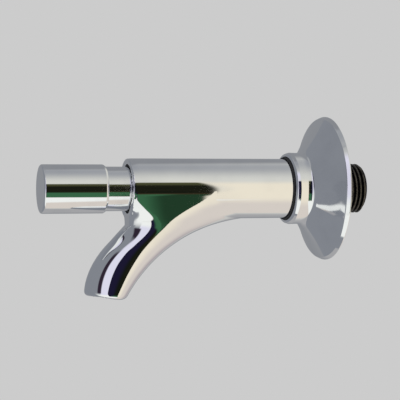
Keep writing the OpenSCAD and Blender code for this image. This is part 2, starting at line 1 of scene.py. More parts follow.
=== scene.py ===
import json
import math
import bpy
import numpy as np
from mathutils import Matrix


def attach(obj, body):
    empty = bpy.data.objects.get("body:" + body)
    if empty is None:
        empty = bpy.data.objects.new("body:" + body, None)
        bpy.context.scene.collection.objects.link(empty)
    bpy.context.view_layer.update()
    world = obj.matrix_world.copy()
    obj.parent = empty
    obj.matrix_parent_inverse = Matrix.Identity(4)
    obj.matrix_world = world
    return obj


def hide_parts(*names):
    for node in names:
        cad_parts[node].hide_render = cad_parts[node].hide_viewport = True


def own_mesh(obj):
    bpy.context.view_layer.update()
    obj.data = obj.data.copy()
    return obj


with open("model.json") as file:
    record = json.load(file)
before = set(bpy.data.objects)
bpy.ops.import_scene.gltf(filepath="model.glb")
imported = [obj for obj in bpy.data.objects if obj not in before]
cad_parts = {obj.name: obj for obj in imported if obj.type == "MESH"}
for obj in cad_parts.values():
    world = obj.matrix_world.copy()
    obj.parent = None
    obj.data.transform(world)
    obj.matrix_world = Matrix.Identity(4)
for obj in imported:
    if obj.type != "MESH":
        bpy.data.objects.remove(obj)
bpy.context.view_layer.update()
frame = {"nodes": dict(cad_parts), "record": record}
nodes = frame["nodes"]
print("frame loaded with", len(nodes), "nodes")

# Lengths below are millimetres as (side, out, up): out runs away from the wall, so the row's y is minus out.
cameraLook = {"place": (0.5504, -0.2222, 0.0053), "azimuth": 73.15, "elevation": 1.0, "lens": 124.16, "sensor": 36.0}


def placeCamera(look):
    data = bpy.data.cameras.new("tapCamera")
    data.sensor_fit, data.sensor_width, data.lens = "HORIZONTAL", look["sensor"], look["lens"]
    data.clip_start, data.clip_end = 0.01, 20.0
    camera = bpy.data.objects.new("tapCamera", data)
    camera.location = look["place"]
    camera.rotation_euler = (math.radians(90 - look["elevation"]), 0, math.radians(look["azimuth"]))
    bpy.context.scene.collection.objects.link(camera)
    bpy.context.scene.camera = camera


placeCamera(cameraLook)
bpy.context.scene.view_settings.view_transform = "Standard"
print("camera placed")


class Wire:
    # one output of a node tree; sums on it add Math nodes
    def __init__(self, tree, socket=None):
        self.tree, self.socket = tree, socket

    def add(self, kind, settings, links, out=0):
        # settings first, then the values or links of the sockets; ramp stops are (place, colour)
        node = self.tree.nodes.new(kind)
        for key, value in settings.items():
            if key == "stops":
                elements = node.color_ramp.elements
                while len(elements) < len(value):
                    elements.new(0.5)
                for element, (place, colour) in zip(elements, value):
                    element.position, element.color = place, (*colour, 1)
            else:
                setattr(node, key, value)
        for key, value in links.items():
            if isinstance(value, Wire):
                self.tree.links.new(value.socket, node.inputs[key])
            else:
                node.inputs[key].default_value = value
        return Wire(self.tree, node.outputs[out] if len(node.outputs) else None)

    def sums(self, operation, first, second=0.0):
        return self.add("ShaderNodeMath", {"operation": operation}, {0: first, 1: second})

    def __add__(self, other):
        return self.sums("ADD", self, other)

    def __radd__(self, other):
        return self.sums("ADD", other, self)

    def __sub__(self, other):
        return self.sums("SUBTRACT", self, other)

    def __rsub__(self, other):
        return self.sums("SUBTRACT", other, self)

    def __mul__(self, other):
        return self.sums("MULTIPLY", self, other)

    def __rmul__(self, other):
        return self.sums("MULTIPLY", other, self)

    def step(self, low, high):
        # 0 below low, 1 above high, an even S between
        return self.add("ShaderNodeMapRange", {"interpolation_type": "SMOOTHSTEP"},
                        {"Value": self, "From Min": low, "From Max": high})

    def within(self, low, high, soft):
        # 1 between low and high, fading over soft on both sides
        return self.step(low - soft, low + soft) * (1 - self.step(high - soft, high + soft))

    def blend(self, under, over):
        # colour under where this is 0, over where it is 1
        return self.add("ShaderNodeMix", {"data_type": "RGBA"}, {"Factor": self, 6: under, 7: over}, 2)

    def parts(self):
        # the three numbers of a vector
        split = self.add("ShaderNodeSeparateXYZ", {}, {0: self})
        return [Wire(self.tree, socket) for socket in split.socket.node.outputs]

    def noise(self, place, scale, detail=2.0, rough=0.5):
        values = {"Vector": place, "Scale": scale, "Detail": detail, "Roughness": rough}
        return self.add("ShaderNodeTexNoise", {}, values)

    def stretch(self, place, scale):
        return self.add("ShaderNodeMapping", {}, {"Vector": place, "Scale": scale})

    def bump(self, height, distance, strength=1.0):
        return self.add("ShaderNodeBump", {}, {"Height": height, "Distance": distance, "Strength": strength})


def rgba(colour):
    return (*colour, 1.0)


# Surroundings: plain and pale to the camera; the chrome mirrors a soft room that has one dark wall.
room = {
    "camera": (0.604, 0.604, 0.604),
    "ceiling": (0.33, 0.345, 0.375), "high": (0.70, 0.70, 0.65),
    "far": (0.90, 0.83, 0.68), "dusk": (0.42, 0.38, 0.40), "farLow": (0.72, 0.66, 0.60),
    "behind": (0.27, 0.28, 0.30), "behindLow": (0.40, 0.40, 0.41),
    "pale": (0.78, 0.77, 0.90), "gap": (0.03, 0.02, 0.035), "near": (0.24, 0.255, 0.285),
    "ground": (0.93, 0.95, 0.92), "olive": (0.075, 0.08, 0.035), "dark": (0.008, 0.010, 0.006),
    "navy": (0.012, 0.010, 0.032), "brown": (0.045, 0.034, 0.016),
    "green": (0.016, 0.046, 0.022), "leaf": (0.042, 0.14, 0.066),
}


def makeWorld(look):
    world = bpy.data.worlds.new("softRoom")
    bpy.context.scene.world = world
    world.use_nodes = True
    world.node_tree.nodes.clear()
    start = Wire(world.node_tree)
    tint = {name: rgba(colour) for name, colour in look.items()}
    way = start.add("ShaderNodeTexCoord", {}, {}, "Generated")
    wayX, wayY, wayZ = way.parts()
    rise = start.sums("ARCSINE", wayZ) * (180 / math.pi)
    turn = start.sums("ARCTAN2", wayY, wayX) * (180 / math.pi)   # 0 along +x, 90 into the wall
    colour = rise.step(30, 85).blend(tint["high"], tint["ceiling"])
    warm = turn.step(24, 70).blend(tint["far"], turn.step(80, 130).blend(tint["farLow"], tint["dusk"]))
    warm = (1 - rise.step(-60, -30)).blend(warm, tint["farLow"])
    colour = (turn.within(17.5, 135, 1.2) * (1 - rise.step(12, 32))).blend(colour, warm)
    behind = (1 - rise.step(-45, -15)).blend(tint["behind"], tint["behindLow"])
    colour = (1 - turn.within(-150, 140, 12)).blend(colour, behind)
    pale = rise.step(-28, -4).blend(tint["ground"], tint["pale"])
    colour = (turn.within(-44, -14, 1.5) * rise.within(-40, 50, 8)).blend(colour, pale)
    near = (turn.step(-70, -52) * (1 - rise.step(-38, 5))).blend(tint["near"], tint["ground"])
    colour = (turn.within(-160, -42, 1.5) * (1 - rise.step(54, 70))).blend(colour, near)
    colour = (turn.within(-52, -38, 2) * rise.within(0, 40, 6)).blend(colour, tint["gap"])
    colour = ((1 - rise.step(-41, -37)) * turn.within(-60, 24, 3)).blend(colour, tint["ground"])
    wall = turn.step(-4, 8).blend(tint["navy"], tint["dark"])
    wall = ((1 - rise.step(-14, -9)) * turn.step(11, 15)).blend(wall, tint["brown"])
    leaf = (turn + rise * 0.02).step(15.5, 16.6).blend(tint["leaf"], tint["green"])
    wall = ((1 - rise.step(-19, -13)) * turn.step(-8, 4)).blend(wall, leaf)
    wall = (rise.step(9, 19) * turn.step(5, 11)).blend(wall, tint["olive"])
    streak = start.noise(start.stretch(way, (6, 6, 60)), 3.0, 2.0, 0.6)
    wall = (streak.step(0.45, 0.75) * turn.step(5, 11) * rise.step(-17, -11) * 0.5).blend(wall, tint["brown"])
    bulge = turn + rise * 0.009 - rise * rise * 0.0019   # the wall's far edge bows out
    edge = (turn + rise * 0.045).step(-16.2, -15.8) * (1 - bulge.step(17.35, 17.75))
    colour = (edge * rise.within(-38, 23, 1.5)).blend(colour, wall)
    seen = start.add("ShaderNodeLightPath", {}, {}, "Is Camera Ray")
    colour = seen.blend(colour, tint["camera"])
    light = start.add("ShaderNodeBackground", {}, {"Color": colour, "Strength": 1.0})
    start.add("ShaderNodeOutputWorld", {}, {"Surface": light})


makeWorld(room)
print("surroundings made")


def newFinish(name):
    material = bpy.data.materials.new(name)
    material.use_nodes = True
    material.node_tree.nodes.clear()
    return material, Wire(material.node_tree)


def dress(wire, values):
    # one Principled shader with these sockets, on the output
    shader = wire.add("ShaderNodeBsdfPrincipled", {}, values)
    wire.add("ShaderNodeOutputMaterial", {}, {"Surface": shader})


def chromeFinish(name, look):
    # mirror plating: faint smears change the gloss, a slow swell bends the mirror image, fine hairlines
    material, wire = newFinish(name)
    place = wire.add("ShaderNodeTexCoord", {}, {}, "Object")
    smear = wire.noise(place, look["smear"], 4, 0.6).step(0.42, 0.72)
    hairs = wire.noise(wire.stretch(place, look["hairs"]), 1.0, 2, 0.6)
    swell = wire.noise(place, look["swell"], 1, 0.4)
    tint = smear.blend(rgba(look["bright"]), rgba(look["dull"]))
    level = look["gloss"] + smear * look["smearGloss"] + hairs.step(0.6, 0.8) * 0.015
    height = swell * look["swellDepth"] + hairs * look["hairDepth"]
    dress(wire, {"Base Color": tint, "Metallic": 1.0, "Roughness": level, "Normal": wire.bump(height, 0.001)})
    return material


chromeLooks = {
    "chrome_cast": {"bright": (0.90, 0.905, 0.915), "dull": (0.85, 0.855, 0.87), "smear": 45, "gloss": 0.018,
                    "smearGloss": 0.02, "hairs": (900, 160, 900), "swell": 70, "swellDepth": 0.008,
                    "hairDepth": 0.0002},
    "chrome_turned": {"bright": (0.88, 0.885, 0.895), "dull": (0.80, 0.805, 0.82), "smear": 90, "gloss": 0.07,
                      "smearGloss": 0.05, "hairs": (30, 2600, 30), "swell": 60, "swellDepth": 0.002,
                      "hairDepth": 0.0012},
    "chrome_pressed": {"bright": (0.90, 0.905, 0.915), "dull": (0.84, 0.845, 0.86), "smear": 50, "gloss": 0.045,
                       "smearGloss": 0.04, "hairs": (400, 400, 400), "swell": 40, "swellDepth": 0.02,
                       "hairDepth": 0.0002},
    "chrome_button": {"bright": (0.90, 0.905, 0.915), "dull": (0.85, 0.855, 0.87), "smear": 80, "gloss": 0.035,
                      "smearGloss": 0.03, "hairs": (60, 1500, 60), "swell": 60, "swellDepth": 0.002,
                      "hairDepth": 0.0002},
}


def metalFinish(name, look):
    # turned metal: fine rings along the axis, tarnish in cloudy patches
    material, wire = newFinish(name)
    place = wire.add("ShaderNodeTexCoord", {}, {}, "Object")
    rings = wire.noise(wire.stretch(place, (40, 3200, 40)), 1.0, 2, 0.6)
    cloud = wire.noise(place, look["cloud"], 5, 0.6).step(0.35, 0.7)
    tint = cloud.blend(rgba(look["clean"]), rgba(look["tarnish"]))
    dress(wire, {"Base Color": tint, "Metallic": 1.0, "Roughness": look["gloss"] + cloud * 0.15,
                 "Normal": wire.bump(rings, 0.001, 0.02)})
    return material


metalLooks = {
    "brass_turned": {"clean": (0.72, 0.52, 0.22), "tarnish": (0.45, 0.30, 0.12), "cloud": 220, "gloss": 0.24},
    "steel_bright": {"clean": (0.60, 0.61, 0.62), "tarnish": (0.42, 0.43, 0.45), "cloud": 260, "gloss": 0.18},
    "spring_steel": {"clean": (0.42, 0.43, 0.46), "tarnish": (0.22, 0.23, 0.26), "cloud": 400, "gloss": 0.28},
}


def threadFinish(name, look):
    # blackened brass: dark roots and lighter crests by the distance from the axis, in cloudy patches; the lighter
    # crests are partly rubbed wear and partly a painted highlight
    material, wire = newFinish(name)
    place = wire.add("ShaderNodeTexCoord", {}, {}, "Object")
    side, along, up = place.parts()
    reach = wire.sums("SQRT", side * side + up * up) * 1000
    cloud = wire.noise(place, 320, 4, 0.6)
    # painted highlight with wear: crests that stand out from the axis are made lighter in colour, in patches
    crestWearAndHighlight = (reach + cloud * 0.5).step(look["root"], look["crest"]) * cloud.step(0.25, 0.6)
    tint = crestWearAndHighlight.blend(rgba(look["dark"]), rgba(look["crestWearAndHighlightTint"]))
    dress(wire, {"Base Color": tint, "Metallic": 1.0, "Roughness": 0.46 - crestWearAndHighlight * 0.14,
                 "Normal": wire.bump(cloud, 0.001, 0.03)})
    return material


# the crest tint is partly rubbed brass, partly a painted highlight
threadLook = {"dark": (0.020, 0.018, 0.019), "crestWearAndHighlightTint": (0.13, 0.12, 0.10), "root": 9.9, "crest": 10.9}


def plainFinish(name, look):
    # moulded or pressed stuff: two close tints in a fine grain, the grain also as bump
    material, wire = newFinish(name)
    place = wire.add("ShaderNodeTexCoord", {}, {}, "Object")
    grain = wire.noise(wire.stretch(place, look["weave"]), look["grain"], 4, 0.65)
    cloud = wire.noise(place, 90, 2, 0.5)
    tint = (grain * 0.7 + cloud * 0.3).step(0.35, 0.65).blend(rgba(look["tint"]), rgba(look["second"]))
    level = look["gloss"] + grain * 0.12
    dress(wire, {"Base Color": tint, "Roughness": level, "Normal": wire.bump(grain, 0.001, look["relief"])})
    return material


plainLooks = {
    "plastic_white": {"tint": (0.80, 0.80, 0.77), "second": (0.74, 0.74, 0.70),
        "grain": 900, "weave": (1, 1, 1), "gloss": 0.36, "relief": 0.02},
    "plastic_blue": {"tint": (0.06, 0.16, 0.42), "second": (0.045, 0.13, 0.36),
        "grain": 900, "weave": (1, 1, 1), "gloss": 0.34, "relief": 0.02},
    "plastic_green": {"tint": (0.05, 0.30, 0.16), "second": (0.04, 0.25, 0.13),
        "grain": 900, "weave": (1, 1, 1), "gloss": 0.34, "relief": 0.02},
    "fibre": {"tint": (0.36, 0.08, 0.05), "second": (0.24, 0.06, 0.04),
        "grain": 1400, "weave": (1, 0.2, 1), "gloss": 0.75, "relief": 0.12},
    "rubber": {"tint": (0.016, 0.016, 0.017), "second": (0.026, 0.026, 0.027),
        "grain": 1500, "weave": (1, 1, 1), "gloss": 0.52, "relief": 0.05},
    "rubber_ring": {"tint": (0.010, 0.010, 0.011), "second": (0.018, 0.018, 0.019),
        "grain": 1500, "weave": (1, 1, 1), "gloss": 0.55, "relief": 0.05},
}

finishes = {name: chromeFinish(name, look) for name, look in chromeLooks.items()}
finishes.update({name: metalFinish(name, look) for name, look in metalLooks.items()})
finishes.update({name: plainFinish(name, look) for name, look in plainLooks.items()})
finishes["brass_dark"] = threadFinish("brass_dark", threadLook)
print("finishes made:", len(finishes))


def addPiece(name, points, faceSets, normals, slot, body, *stands):
    # points and normals as (side, out, up); faces are turned to agree with the normals
    turn = np.array([1.0, -1.0, 1.0])
    points = points * turn * 0.001
    if normals is not None:
        normals = normals * turn
        corners = points[faceSets[0][:, :3]]
        facing = np.cross(corners[:, 1] - corners[:, 0], corners[:, 2] - corners[:, 0])
        if (facing * normals[faceSets[0][:, 0]]).sum() < 0:
            faceSets = [faces[:, ::-1] for faces in faceSets]
    loops = np.concatenate([faces.ravel() for faces in faceSets]).astype(np.int32)
    sizes = np.concatenate([np.full(len(faces), faces.shape[1]) for faces in faceSets])
    mesh = bpy.data.meshes.new(name)
    mesh.vertices.add(len(points))
    mesh.vertices.foreach_set("co", points.astype(np.float32).ravel())
    mesh.loops.add(len(loops))
    mesh.loops.foreach_set("vertex_index", loops)
    mesh.polygons.add(len(sizes))
    mesh.polygons.foreach_set("loop_start", (np.cumsum(sizes) - sizes).astype(np.int32))
    mesh.update(calc_edges=True)
    mesh.shade_smooth()
    if normals is None:
        mesh.set_sharp_from_angle(angle=math.radians(48))
    else:
        mesh.normals_split_custom_set_from_vertices(normals.astype(np.float32))
    mesh.materials.append(finishes[slot])
    piece = bpy.data.objects.new(name, mesh)
    bpy.context.scene.collection.objects.link(piece)
    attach(piece, body)
    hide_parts(*stands)
    print(name, len(points), "points,", int((sizes - 2).sum()), "triangles")
    return piece


def gridFaces(rows, columns, closeRows, closeColumns):
    # quads between neighbours of a grid numbered row by row
    row = np.arange(rows if closeRows else rows - 1)[:, None]
    column = np.arange(columns if closeColumns else columns - 1)[None, :]
    nextRow, nextColumn = (row + 1) % rows, (column + 1) % columns
    here, there = row * columns, nextRow * columns
    quads = [here + column, here + nextColumn, there + nextColumn, there + column]
    return np.stack(np.broadcast_arrays(*quads), -1).reshape(-1, 4)


def softProfile(corners, closed, steps=7):
    # every corner becomes a quadratic bend that begins and ends its reach away along its two edges
    place, reach = np.asarray(corners, float)[:, :2], np.asarray(corners, float)[:, 2]
    before, after = np.roll(place, 1, 0) - place, np.roll(place, -1, 0) - place
    longBefore, longAfter = np.linalg.norm(before, axis=1), np.linalg.norm(after, axis=1)
    start = place + before * (np.minimum(reach, longBefore / 2) / longBefore)[:, None]
    end = place + after * (np.minimum(reach, longAfter / 2) / longAfter)[:, None]
    s = np.linspace(0, 1, steps)[None, :, None]
    bend = (1 - s) ** 2 * start[:, None] + 2 * s * (1 - s) * place[:, None] + s ** 2 * end[:, None]
    along = (1 - s) * (place - start)[:, None] + s * (end - place)[:, None]
    if closed:
        points, way = bend.reshape(-1, 2), along.reshape(-1, 2)
    else:
        points = np.concatenate([place[:1], bend[1:-1].reshape(-1, 2), place[-1:]])
        way = np.concatenate([after[:1], along[1:-1].reshape(-1, 2), -before[-1:]])
    keep = np.ones(len(points), bool)
    keep[1:] = np.linalg.norm(np.diff(points, axis=0), axis=1) > 1e-5
    points, way = points[keep], way[keep] / np.linalg.norm(way[keep], axis=1)[:, None]
    area = (points[:, 0] * np.roll(points[:, 1], -1) - np.roll(points[:, 0], -1) * points[:, 1]).sum()
    return points, np.stack([way[:, 1], -way[:, 0]], 1) * np.sign(area)


def turnedPiece(name, corners, closed, slot, body, *stands, around=192):
    # a profile of (radius, out) carried round the axis: side = r cos a, up = r sin a
    profile, facing = softProfile(corners, closed)
    angle = np.linspace(0, 2 * math.pi, around, endpoint=False)[None, :]
    wheel = np.stack(np.broadcast_arrays(np.cos(angle), 1.0, np.sin(angle)), -1)
    points = wheel * np.stack([profile[:, 0], profile[:, 1], profile[:, 0]], 1)[:, None]
    normals = wheel * np.stack([facing[:, 0], facing[:, 1], facing[:, 0]], 1)[:, None]
    if closed:
        faceSets = [gridFaces(len(profile), around, True, True)]
        return addPiece(name, points.reshape(-1, 3), faceSets, normals.reshape(-1, 3), slot, body, *stands)
    rings = len(profile) - 2   # the two ends lie on the axis and are one point each
    quads = gridFaces(rings, around, False, True)
    ring = np.arange(around)
    first, last = rings * around, rings * around + 1
    caps = np.concatenate([
        np.stack([np.full(around, first), (ring + 1) % around, ring], 1),
        np.stack([np.full(around, last), first - around + ring, first - around + (ring + 1) % around], 1)])
    points = np.concatenate([points[1:-1].reshape(-1, 3), points[:1, 0], points[-1:, 0]])
    normals = np.concatenate([normals[1:-1].reshape(-1, 3), normals[:1, 0], normals[-1:, 0]])
    return addPiece(name, points, [quads, caps], normals, slot, body, *stands)


# Push button: a cup with a boss inside; each corner is (radius, out, reach of its rounding)
button = [
    (0, 122.8, 0), (10, 122.8, 0.95), (10, 97.2, 0.25), (9.5, 96.4, 0.12), (9.16, 96.4, 0.08),
    (9.16, 120.3, 0.4), (4.4, 120.3, 0.4), (4.4, 113.0, 0.2), (2.55, 113.0, 0.1), (2.55, 119.15, 0.1), (0, 119.15, 0),
]
turnedPiece("pushButton", button, False, "chrome_button", "plunger", "push_button")

# Wall flange: rolled rim, hollow cone, collar with a turned-in lip; the inside follows one wall thickness away
flange = [
    (29.2, 0, 0.1), (30.5, 0, 0.12), (30.5, 0.3, 0.12), (29.75, 1.95, 0.35), (24.6, 4.55, 4), (19.6, 7.6, 3.5),
    (15.5, 10.45, 1.6), (15.05, 12.2, 1.3), (15.15, 16.1, 0.15), (14.7, 17.55, 0.45), (13.9, 17.9, 0.3),
    (13.45, 17.9, 0.2), (13.4, 16.55, 0.1), (13.9, 16.55, 0.1), (13.9, 14.05, 0.1), (13.6, 14.05, 0.1),
    (13.6, 9.8, 1.4), (18.7, 6.5, 4), (23.7, 3.45, 4), (28.95, 0.95, 0.4),
]
turnedPiece("wallFlange", flange, True, "chrome_pressed", "flange", "wall_flange")

# Rubber ring that grips the barrel; its nose looks out of the collar
flangeRing = [
    (12.55, 14.1, 0.25), (13.85, 14.1, 0.25), (13.85, 16.5, 0.1), (13.36, 16.5, 0.1), (13.3, 18.7, 0.45),
    (12.55, 18.7, 0.3),
]
turnedPiece("flangeRing", flangeRing, True, "rubber_ring", "flange", "flange_ring")

# Body casting: barrel and spout as one skin. Level by level, the spout's flank is flat between a back and a front
# line, rolls under behind the one and forward beyond the other.
casting = {
    "radius": 12.5, "back": 8.5, "front": 87.0, "frontRound": 0.35, "backRound": 0.5, "buff": (0.12, 3.0),
    "underStart": 32.08, "underRadius": 63.7, "sink": 0.5,
    "rail": ((53.9, 5.3), (65.3, -2.1), (104.74, -18.96), (104.74, -43.36)), "hiddenFront": 91.5,
    "face": (86.9, -14.9, 1.2, 1.5),
    "outlet": (96.3, -44.4), "lipTilt": math.radians(7), "lipRound": 2.0,
    "levels": (6, 0, -2.9, -5.1, -8.3, -12.5, -15.7, -18.3, -21.7, -25, -30.2, -35.3, -44, -50),
    "backLine": (50, 52, 54.5, 57.8, 64.3, 70.7, 73.6, 76.5, 79.8, 82.8, 86.3, 89.2, 93.3, 96),
    "frontLine": (86.5, 86.2, 85.8, 84.8, 81, 75.7, 74.6, 76.6, 79.9, 82.9, 86.4, 89.3, 93.4, 96.1),
    "point": (0.2, 0.2, 0.2, 0.2, 0.3, 0.6, 0.65, 0.55, 0.35, 0.1, 0, 0, 0, 0), "blunt": 0.3, "tipSoft": 0.04,
    "lipHalf": 8.5, "waist": 8.5, "slant": 0.23, "slantFoot": -19.0, "slantSoft": 3.0, "dive": 0.06, "diveFrom": -2.9,
    "lineSoft": 1.2, "fillet": 2.0, "backFillet": 5.0, "agree": 0.15,
    "bores": ((9.55, 0, 20.5), (7.6, 20, 40.5), (8.25, 40, 48.5), (9.3, 48, 78.5), (10.05, 78, 95)),
    "lean": math.radians(13), "mouth": (6.75, 5.0), "seat": (6.05, 9.5), "passage": 4.8, "bendRadius": 25.0,
    "entry": (61.7, -9.8), "boreEdge": 0.35, "cell": 0.52,
}


def ease(low, high, value):
    # 0 below low, 1 above high, an even S between
    s = np.clip((value - low) / (high - low), 0, 1)
    return s * s * (3 - 2 * s)


def spoutLines(c):
    # tables by level: front end (a cubic with four controls), back line, front line, half width
    level = np.arange(-52, 14, 0.02)
    t = np.linspace(0, 1, 2001)
    weights = ((1 - t) ** 3, 3 * (1 - t) ** 2 * t, 3 * (1 - t) * t * t, t ** 3)
    railOut, railUp = [sum(w * p[i] for w, p in zip(weights, c["rail"])) for i in (0, 1)]
    tip = np.interp(level, railUp[::-1], railOut[::-1])
    # higher up the end lies ahead of the front face
    tip = tip + 1.5 * np.logaddexp(0, (c["hiddenFront"] - tip) / 1.5)
    bell = np.exp(-0.5 * (np.arange(-200, 201) * 0.02 / c["lineSoft"]) ** 2)
    soften = lambda line: np.convolve(np.pad(line, 200, "edge"), bell / bell.sum(), "valid")
    byLevel = lambda key: soften(np.interp(level, c["levels"][::-1], c[key][::-1]))
    back, front, point = byLevel("backLine"), byLevel("frontLine"), byLevel("point")
    half = c["waist"] + c["slant"] * c["slantSoft"] * np.logaddexp(0, (level - c["slantFoot"]) / c["slantSoft"])
    half = half - c["dive"] * np.maximum(level - c["diveFrom"], 0) ** 2
    half = half - (c["waist"] - c["lipHalf"]) * (1 - ease(-44, -25, level))
    return level, tip, back, np.gradient(back, level), front, point, np.maximum(half, 1.0)


spoutTables = spoutLines(casting)


def spoutSkin(side, out, up, c):
    # each level is widest from its back line to its front line, and rolls off to the underside and to the front end
    tip, back, lean, front, point, half = [np.interp(up, spoutTables[0], line) for line in spoutTables[1:]]
    start, turn = c["underStart"], c["underRadius"]
    along = np.maximum(out - start, 0)
    inside = np.sqrt(along ** 2 + (up + c["radius"] + turn) ** 2) - turn   # above the underside's arc
    inside = inside - c["sink"] * np.maximum(0, 1 - along / 17) ** 2
    behind = np.maximum(back - out, 0) / np.sqrt(1 + lean ** 2)
    roll = behind / (behind + np.maximum(inside, -0.6 * behind) + 1e-6)
    ahead = np.maximum((out - front) / np.maximum(tip - front, 1), 0)
    left = 1 - ahead ** 2
    narrow = ((0.5 * (left + np.sqrt(left ** 2 + c["tipSoft"])) + c["blunt"]) / (1 + c["blunt"])) ** point
    return np.sqrt((side / (half * narrow)) ** 2 + roll ** 2 + ahead ** 2) - 1, out - back, out - front


def slope(field, side, out, up, e=0.03):
    # how the field changes along each way, by central differences
    return ((field(side + e, out, up) - field(side - e, out, up)) / (2 * e),
            (field(side, out + e, up) - field(side, out - e, up)) / (2 * e),
            (field(side, out, up + e) - field(side, out, up - e)) / (2 * e))


def barrelSkin(side, out, up, c):
    # a cylinder with rounded ends: distance to a smaller one, less the rounding; its front edge is buffed down
    worn = c["buff"][0] * np.maximum(0, (out - c["front"]) / c["buff"][1] + 1) ** 2
    middle, half = (c["front"] + c["back"]) / 2, (c["front"] - c["back"]) / 2
    soft = np.where(out > middle, c["frontRound"], c["backRound"])
    ring = np.sqrt(side ** 2 + up ** 2) - c["radius"] + worn + soft
    end = np.abs(out - middle) - half + soft
    return np.sqrt(np.maximum(ring, 0) ** 2 + np.maximum(end, 0) ** 2) + np.minimum(np.maximum(ring, end), 0) - soft


def softMax(a, b, k):
    # the larger of two, rounded where they are within k of each other
    h = np.maximum(k - np.abs(a - b), 0) / np.maximum(k, 1e-6)
    return np.maximum(a, b) + h * h * k / 4


def boreSkin(side, out, up, c):
    # stepped bores on the axis, and the outlet: mouth, seat, one bend and a straight run into the chamber
    reach = np.sqrt(side ** 2 + up ** 2)
    axial = [np.maximum(reach - r, np.maximum(a - out, out - b)) for r, a, b in c["bores"]]
    lift = np.array([-math.sin(c["lean"]), math.cos(c["lean"])])
    over = np.array([math.cos(c["lean"]), math.sin(c["lean"])])
    outlet = np.array(c["outlet"])
    rise = (out - outlet[0]) * lift[0] + (up - outlet[1]) * lift[1]
    off = np.sqrt(side ** 2 + ((out - outlet[0]) * over[0] + (up - outlet[1]) * over[1]) ** 2)
    mouth = np.maximum(off - c["mouth"][0], np.maximum(rise - c["mouth"][1], -3 - rise))
    seat = np.maximum(off - c["seat"][0], np.maximum(rise - c["seat"][1], -rise))
    centre = outlet + c["seat"][1] * lift - c["bendRadius"] * over
    far = np.array(c["entry"]) - centre
    reachFar = np.hypot(*far)
    bendTo = math.atan2(far[1], far[0]) - math.acos(c["bendRadius"] / reachFar)
    angle = np.clip(np.arctan2(up - centre[1], out - centre[0]), c["lean"], bendTo)
    bend = np.sqrt((out - centre[0] - c["bendRadius"] * np.cos(angle)) ** 2
                   + (up - centre[1] - c["bendRadius"] * np.sin(angle)) ** 2 + side ** 2) - c["passage"]
    corner = centre + c["bendRadius"] * np.array([math.cos(bendTo), math.sin(bendTo)])
    run = np.array(c["entry"]) - corner
    along = np.clip(((out - corner[0]) * run[0] + (up - corner[1]) * run[1]) / (run @ run), 0, 1)
    straight = np.sqrt((out - corner[0] - along * run[0]) ** 2
                       + (up - corner[1] - along * run[1]) ** 2 + side ** 2) - c["passage"]
    skin = axial[0]
    for other in axial[1:] + [mouth, seat, bend, straight]:
        skin = np.minimum(skin, other)
    return skin


def castingSkin(side, out, up, c=casting):
    # barrel and spout; the fillet between them is wide where their skins cross, none where they agree
    barrel = barrelSkin(side, out, up, c)
    spout, pastBack, pastFront = spoutSkin(side, out, up, c)
    grade = slope(lambda x, y, z: spoutSkin(x, y, z, c)[0], side, out, up)
    steep = np.maximum(np.sqrt(sum(g * g for g in grade)), 0.02)
    facing = slope(lambda x, y, z: barrelSkin(x, y, z, c), side, out, up)
    steepBarrel = np.maximum(np.sqrt(sum(f * f for f in facing)), 0.1)
    apart = 1 - sum(g * f for g, f in zip(grade, facing)) / (steep * steepBarrel)
    spout = np.maximum(np.maximum(spout / steep, up - 5), c["underStart"] + 1 - out)   # closed inside the barrel
    lip = (out - c["outlet"][0]) * math.sin(c["lipTilt"]) - (up - c["outlet"][1]) * math.cos(c["lipTilt"])
    spout = softMax(spout, lip, c["lipRound"])
    at, foot, lean, soft = c["face"]   # the front face, flush with the barrel's, which leans out below its foot
    ahead = (out - at - lean * np.maximum(foot - up, 0)) / np.where(up < foot, math.hypot(1, lean), 1)
    spout = softMax(spout, ahead, soft)
    wide = c["fillet"] * ease(1, 5, pastFront) + c["backFillet"] * (1 - ease(-9, -2, pastBack))
    fillet = wide * apart / (apart + c["agree"]) * ease(2, 8, np.abs(side))
    skin = -softMax(-barrel, -spout, fillet + 1e-3)
    return softMax(skin, -boreSkin(side, out, up, c), c["boreEdge"])


def wrapSkin(field, low, high, cell):
    # a net over a field's zero: one point in each grid cell that it crosses, one quad round each crossed grid line
    axes = [np.arange(a, b + cell, cell) for a, b in zip(low, high)]
    value = field(axes[0][:, None, None], axes[1][None, :, None], axes[2][None, None, :])
    value = np.broadcast_to(value, [len(a) for a in axes])
    inside = value < 0
    cells = tuple(n - 1 for n in value.shape)
    total, count = np.zeros((3, *cells)), np.zeros(cells)
    lines = []
    for axis in range(3):
        first = [slice(None)] * 3
        second = [slice(None)] * 3
        first[axis], second[axis] = slice(None, -1), slice(1, None)
        a, b = value[tuple(first)], value[tuple(second)]
        crossed = inside[tuple(first)] != inside[tuple(second)]
        index = np.array(np.nonzero(crossed))
        share = a[crossed] / (a[crossed] - b[crossed])
        spot = index.astype(float)
        spot[axis] += share
        others = [k for k in range(3) if k != axis]
        ring = []
        for stepA, stepB in ((0, 0), (1, 0), (1, 1), (0, 1)):
            home = index.copy()
            home[others[0]] -= stepA
            home[others[1]] -= stepB
            flat = np.ravel_multi_index(home, cells)
            for k in range(3):
                total[k].ravel()[:] += np.bincount(flat, spot[k], total[k].size)
            count.ravel()[:] += np.bincount(flat, minlength=count.size)
            ring.append(flat)
        ring = np.stack(ring, 1)
        turned = inside[tuple(first)][crossed] ^ (axis == 1)
        lines.append(np.where(turned[:, None], ring, ring[:, ::-1]))
    used = count > 0
    number = np.cumsum(used.ravel()) - 1
    points = np.stack([low[k] + cell * total[k][used] / count[used] for k in range(3)], 1)
    return points, number[np.concatenate(lines)]


